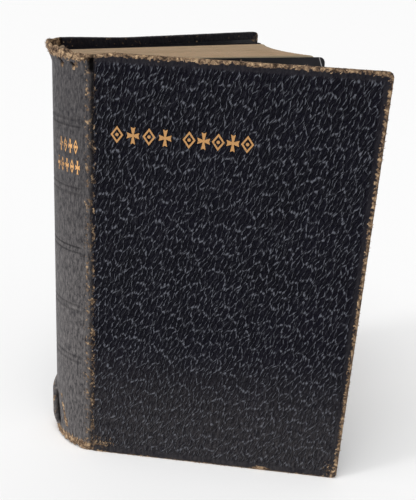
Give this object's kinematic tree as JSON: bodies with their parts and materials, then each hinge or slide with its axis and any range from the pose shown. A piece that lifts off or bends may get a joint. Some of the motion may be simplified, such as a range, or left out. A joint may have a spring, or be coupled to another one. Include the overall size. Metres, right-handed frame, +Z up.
{
  "type": "leather-bound bible",
  "caption": "Old leather-bound book standing on its tail edge: grained leather covers hinged to a rounded spine, black endpapers and a fanned text block of sewn sections.",
  "frame": {"origin": "middle of the footprint, on the surface that the book stands on", "axes": "+Z up along the spine; +X along the front cover from the joint to the fore-edge; the front cover faces -Y"},
  "size_m": [0.1404, 0.1132, 0.19],
  "materials": {
    "grained_leather": "navy-black grained leather, satin, worn brown at the edges",
    "worn_spine_leather": "smooth rubbed grey-black leather with blind lines",
    "cover_board": "matt",
    "black_endpaper": "matt black",
    "page_paper": "thin aged paper with tanned edges",
    "lining_paper": "matt brown paper",
    "mull_cloth": "open-weave cotton",
    "linen_tape": "woven linen tape",
    "linen_thread": "linen thread",
    "band_silk": "silk-wound core"
  },
  "bodies": {
    "spine_and_sewing": {"spine_leather": "worn_spine_leather", "spine_lining": "lining_paper", "mull": "mull_cloth", "sewing_tape_1": "linen_tape", "sewing_tape_2": "linen_tape", "sewing_tape_3": "linen_tape", "kettle_stitch_tail": "linen_thread", "kettle_stitch_head": "linen_thread", "tail_band": "band_silk", "head_band": "band_silk", "text_section_24": "page_paper"},
    "front_cover": {"front_cover_leather": "grained_leather", "front_board": "cover_board", "front_pastedown": "black_endpaper"},
    "back_cover": {"back_cover_leather": "grained_leather", "back_board": "cover_board", "back_pastedown": "black_endpaper"},
    "front_flyleaf": {"front_flyleaf": "black_endpaper"},
    "back_flyleaf": {"back_flyleaf": "black_endpaper"},
    "text_section_01": {"text_section_01": "page_paper"},
    "text_section_02": {"text_section_02": "page_paper"},
    "text_section_03": {"text_section_03": "page_paper"},
    "text_section_04": {"text_section_04": "page_paper"},
    "text_section_05": {"text_section_05": "page_paper"},
    "text_section_06": {"text_section_06": "page_paper"},
    "text_section_07": {"text_section_07": "page_paper"},
    "text_section_08": {"text_section_08": "page_paper"},
    "text_section_09": {"text_section_09": "page_paper"},
    "text_section_10": {"text_section_10": "page_paper"},
    "text_section_11": {"text_section_11": "page_paper"},
    "text_section_12": {"text_section_12": "page_paper"},
    "text_section_13": {"text_section_13": "page_paper"},
    "text_section_14": {"text_section_14": "page_paper"},
    "text_section_15": {"text_section_15": "page_paper"},
    "text_section_16": {"text_section_16": "page_paper"},
    "text_section_17": {"text_section_17": "page_paper"},
    "text_section_18": {"text_section_18": "page_paper"},
    "text_section_19": {"text_section_19": "page_paper"},
    "text_section_20": {"text_section_20": "page_paper"},
    "text_section_21": {"text_section_21": "page_paper"},
    "text_section_22": {"text_section_22": "page_paper"},
    "text_section_23": {"text_section_23": "page_paper"}
  },
  "joints": [
    {"name": "front_cover_hinge", "type": "hinge", "parent": "spine_and_sewing", "child": "front_cover", "pos_m": [-0.04756, -0.0566, 0], "axis": [0, 0, -1], "range_deg": [-37.8, 142]},
    {"name": "back_cover_hinge", "type": "hinge", "parent": "spine_and_sewing", "child": "back_cover", "pos_m": [-0.06991, -0.028, 0], "axis": [0, 0, 1], "range_deg": [-7.7, 172]},
    {"name": "front_flyleaf_turn", "type": "hinge", "parent": "spine_and_sewing", "child": "front_flyleaf", "pos_m": [-0.04989, -0.05382, 0], "axis": [0, 0, -1], "range_deg": [-8.36, 30.84]},
    {"name": "section_01_turn", "type": "hinge", "parent": "spine_and_sewing", "child": "text_section_01", "pos_m": [-0.05036, -0.05322, 0], "axis": [0, 0, -1], "range_deg": [-5.67, 20.75]},
    {"name": "section_02_turn", "type": "hinge", "parent": "spine_and_sewing", "child": "text_section_02", "pos_m": [-0.05182, -0.05284, 0], "axis": [0, 0, -1], "range_deg": [-5.43, 19.86]},
    {"name": "section_03_turn", "type": "hinge", "parent": "spine_and_sewing", "child": "text_section_03", "pos_m": [-0.05318, -0.05239, 0], "axis": [0, 0, -1], "range_deg": [-5.2, 18.97]},
    {"name": "section_04_turn", "type": "hinge", "parent": "spine_and_sewing", "child": "text_section_04", "pos_m": [-0.05446, -0.05187, 0], "axis": [0, 0, -1], "range_deg": [-4.96, 18.07]},
    {"name": "section_05_turn", "type": "hinge", "parent": "spine_and_sewing", "child": "text_section_05", "pos_m": [-0.05566, -0.05129, 0], "axis": [0, 0, -1], "range_deg": [-4.72, 17.18]},
    {"name": "section_06_turn", "type": "hinge", "parent": "spine_and_sewing", "child": "text_section_06", "pos_m": [-0.0568, -0.05065, 0], "axis": [0, 0, -1], "range_deg": [-4.48, 16.28]},
    {"name": "section_07_turn", "type": "hinge", "parent": "spine_and_sewing", "child": "text_section_07", "pos_m": [-0.05786, -0.04997, 0], "axis": [0, 0, -1], "range_deg": [-4.24, 15.39]},
    {"name": "section_08_turn", "type": "hinge", "parent": "spine_and_sewing", "child": "text_section_08", "pos_m": [-0.05887, -0.04924, 0], "axis": [0, 0, -1], "range_deg": [-4.01, 14.5]},
    {"name": "section_09_turn", "type": "hinge", "parent": "spine_and_sewing", "child": "text_section_09", "pos_m": [-0.05982, -0.04846, 0], "axis": [0, 0, -1], "range_deg": [-3.77, 13.6]},
    {"name": "section_10_turn", "type": "hinge", "parent": "spine_and_sewing", "child": "text_section_10", "pos_m": [-0.06072, -0.04764, 0], "axis": [0, 0, -1], "range_deg": [-3.53, 12.71]},
    {"name": "section_11_turn", "type": "hinge", "parent": "spine_and_sewing", "child": "text_section_11", "pos_m": [-0.06156, -0.04678, 0], "axis": [0, 0, -1], "range_deg": [-3.29, 11.82]},
    {"name": "section_12_turn", "type": "hinge", "parent": "spine_and_sewing", "child": "text_section_12", "pos_m": [-0.06235, -0.04588, 0], "axis": [0, 0, -1], "range_deg": [-3.05, 10.92]},
    {"name": "section_13_turn", "type": "hinge", "parent": "spine_and_sewing", "child": "text_section_13", "pos_m": [-0.06309, -0.04494, 0], "axis": [0, 0, -1], "range_deg": [-2.82, 10.03]},
    {"name": "section_14_turn", "type": "hinge", "parent": "spine_and_sewing", "child": "text_section_14", "pos_m": [-0.06377, -0.04395, 0], "axis": [0, 0, -1], "range_deg": [-2.58, 9.14]},
    {"name": "section_15_turn", "type": "hinge", "parent": "spine_and_sewing", "child": "text_section_15", "pos_m": [-0.0644, -0.04293, 0], "axis": [0, 0, -1], "range_deg": [-2.34, 8.24]},
    {"name": "section_16_turn", "type": "hinge", "parent": "spine_and_sewing", "child": "text_section_16", "pos_m": [-0.06498, -0.04186, 0], "axis": [0, 0, -1], "range_deg": [-2.1, 7.35]},
    {"name": "section_17_turn", "type": "hinge", "parent": "spine_and_sewing", "child": "text_section_17", "pos_m": [-0.06551, -0.04075, 0], "axis": [0, 0, -1], "range_deg": [-1.87, 6.46]},
    {"name": "section_18_turn", "type": "hinge", "parent": "spine_and_sewing", "child": "text_section_18", "pos_m": [-0.06597, -0.03959, 0], "axis": [0, 0, -1], "range_deg": [-1.63, 5.56]},
    {"name": "section_19_turn", "type": "hinge", "parent": "spine_and_sewing", "child": "text_section_19", "pos_m": [-0.06638, -0.03839, 0], "axis": [0, 0, -1], "range_deg": [-1.39, 4.67]},
    {"name": "section_20_turn", "type": "hinge", "parent": "spine_and_sewing", "child": "text_section_20", "pos_m": [-0.06672, -0.03714, 0], "axis": [0, 0, -1], "range_deg": [-1.15, 3.77]},
    {"name": "section_21_turn", "type": "hinge", "parent": "spine_and_sewing", "child": "text_section_21", "pos_m": [-0.06699, -0.03583, 0], "axis": [0, 0, -1], "range_deg": [-0.91, 2.88]},
    {"name": "section_22_turn", "type": "hinge", "parent": "spine_and_sewing", "child": "text_section_22", "pos_m": [-0.06718, -0.03447, 0], "axis": [0, 0, -1], "range_deg": [-0.68, 1.99]},
    {"name": "section_23_turn", "type": "hinge", "parent": "spine_and_sewing", "child": "text_section_23", "pos_m": [-0.06729, -0.03303, 0], "axis": [0, 0, -1], "range_deg": [-0.44, 1.09]},
    {"name": "back_flyleaf_turn", "type": "hinge", "parent": "spine_and_sewing", "child": "back_flyleaf", "pos_m": [-0.06778, -0.03093, 0], "axis": [0, 0, 1], "range_deg": [-2.15, 43.74]}
  ],
  "couplings": [
    {"joint": "front_flyleaf_turn", "follows": "front_cover_hinge", "ratio": 0.21579},
    {"joint": "section_01_turn", "follows": "front_cover_hinge", "ratio": 0.14474},
    {"joint": "section_02_turn", "follows": "front_cover_hinge", "ratio": 0.13844},
    {"joint": "section_03_turn", "follows": "front_cover_hinge", "ratio": 0.13215},
    {"joint": "section_04_turn", "follows": "front_cover_hinge", "ratio": 0.12586},
    {"joint": "section_05_turn", "follows": "front_cover_hinge", "ratio": 0.11957},
    {"joint": "section_06_turn", "follows": "front_cover_hinge", "ratio": 0.11327},
    {"joint": "section_07_turn", "follows": "front_cover_hinge", "ratio": 0.10698},
    {"joint": "section_08_turn", "follows": "front_cover_hinge", "ratio": 0.10069},
    {"joint": "section_09_turn", "follows": "front_cover_hinge", "ratio": 0.09439},
    {"joint": "section_10_turn", "follows": "front_cover_hinge", "ratio": 0.0881},
    {"joint": "section_11_turn", "follows": "front_cover_hinge", "ratio": 0.08181},
    {"joint": "section_12_turn", "follows": "front_cover_hinge", "ratio": 0.07551},
    {"joint": "section_13_turn", "follows": "front_cover_hinge", "ratio": 0.06922},
    {"joint": "section_14_turn", "follows": "front_cover_hinge", "ratio": 0.06293},
    {"joint": "section_15_turn", "follows": "front_cover_hinge", "ratio": 0.05664},
    {"joint": "section_16_turn", "follows": "front_cover_hinge", "ratio": 0.05034},
    {"joint": "section_17_turn", "follows": "front_cover_hinge", "ratio": 0.04405},
    {"joint": "section_18_turn", "follows": "front_cover_hinge", "ratio": 0.03776},
    {"joint": "section_19_turn", "follows": "front_cover_hinge", "ratio": 0.03146},
    {"joint": "section_20_turn", "follows": "front_cover_hinge", "ratio": 0.02517},
    {"joint": "section_21_turn", "follows": "front_cover_hinge", "ratio": 0.01888},
    {"joint": "section_22_turn", "follows": "front_cover_hinge", "ratio": 0.01259},
    {"joint": "section_23_turn", "follows": "front_cover_hinge", "ratio": 0.00629},
    {"joint": "back_flyleaf_turn", "follows": "back_cover_hinge", "ratio": 0.25316}
  ]
}
